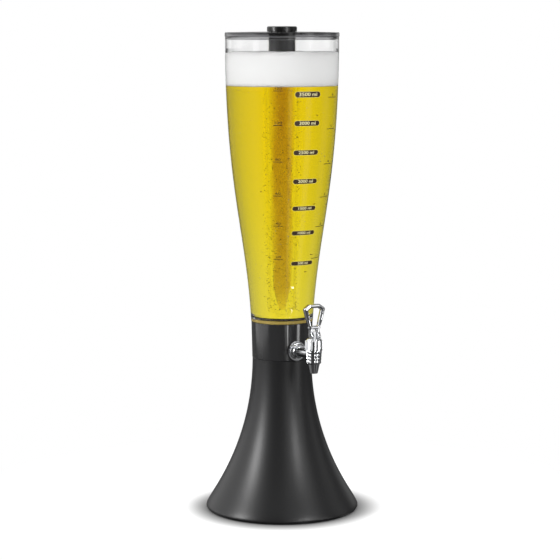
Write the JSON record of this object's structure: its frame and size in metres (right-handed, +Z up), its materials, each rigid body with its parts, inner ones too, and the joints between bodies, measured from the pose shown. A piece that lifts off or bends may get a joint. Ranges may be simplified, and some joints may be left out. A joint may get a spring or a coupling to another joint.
{
  "type": "beer tower dispenser",
  "caption": "Tabletop drink tower: clear flared vessel with an ice tube and lid on a black trumpet base, poured through a lever tap on its collar.",
  "frame": {"origin": "centre of the base on the surface that it stands on", "axes": "+Z up along the tower's axis, the tap faces -Y, +X to the right of someone who faces the tap"},
  "size_m": [0.2212, 0.2212, 0.6977],
  "materials": {
    "base_black": "satin moulded black with a fine spark texture",
    "cover_black": "matte moulded black",
    "screw_steel": "zinc plated",
    "foot_rubber": "matte black rubber",
    "collar_black": "polished black",
    "vessel_clear": "clear moulded plastic with a printed volume scale",
    "seal_rubber": "black rubber ring",
    "tap_chrome": "bright chrome plate on moulded plastic",
    "washer_rubber": "black rubber washer",
    "nut_plastic": "natural moulded plastic",
    "bonnet_chrome": "bright chrome plate on moulded plastic",
    "spring_steel": "drawn stainless wire",
    "stem_plastic": "grey moulded plastic",
    "cup_silicone": "translucent silicone",
    "pin_steel": "polished steel",
    "lever_chrome": "bright chrome plate on moulded plastic",
    "lid_smoke": "smoke-tinted clear plastic",
    "tube_clear": "clear moulded plastic",
    "stopper_black": "satin black moulded plastic"
  },
  "bodies": {
    "base_unit": {"base_shell": "base_black", "base_cover": "cover_black", "cover_screws": "screw_steel", "rubber_feet": "foot_rubber"},
    "reservoir_unit": {"collar": "collar_black", "vessel": "vessel_clear", "vessel_seal": "seal_rubber", "tap_body": "tap_chrome", "tap_outer_washer": "washer_rubber", "tap_inner_washer": "washer_rubber", "tap_nut": "nut_plastic", "tap_bonnet": "bonnet_chrome", "tap_spring": "spring_steel"},
    "valve_unit": {"valve_stem": "stem_plastic", "stem_seal": "seal_rubber", "valve_cup": "cup_silicone", "lever_pin": "pin_steel"},
    "lever_unit": {"tap_lever": "lever_chrome"},
    "lid_unit": {"lid": "lid_smoke"},
    "tube_unit": {"ice_tube": "tube_clear"},
    "stopper_unit": {"stopper": "stopper_black", "stopper_seal": "seal_rubber"}
  },
  "joints": [
    {"name": "reservoir_lift", "type": "slide", "parent": "base_unit", "child": "reservoir_unit", "axis": [0, 0, 1], "range_m": [0, 0.05]},
    {"name": "stem_lift", "type": "slide", "parent": "reservoir_unit", "child": "valve_unit", "axis": [0, 0, 1], "range_m": [0, 0.0028], "deforming": ["tap_spring"]},
    {"name": "lever_tilt", "type": "hinge", "parent": "valve_unit", "child": "lever_unit", "pos_m": [0, -0.097, 0.2695], "axis": [1, 0, 0], "range_deg": [0, 40], "stiffness_Nm_per_rad": 0.08, "springref_deg": -22.92},
    {"name": "lid_lift", "type": "slide", "parent": "reservoir_unit", "child": "lid_unit", "axis": [0, 0, 1], "range_m": [0, 0.42]},
    {"name": "tube_lift", "type": "slide", "parent": "lid_unit", "child": "tube_unit", "axis": [0, 0, 1], "range_m": [0, 0.42]},
    {"name": "stopper_pull", "type": "slide", "parent": "tube_unit", "child": "stopper_unit", "axis": [0, 0, 1], "range_m": [0, 0.04]}
  ],
  "couplings": [
    {"joint": "lever_tilt", "follows": "stem_lift", "rad_per_m": 249.33}
  ]
}
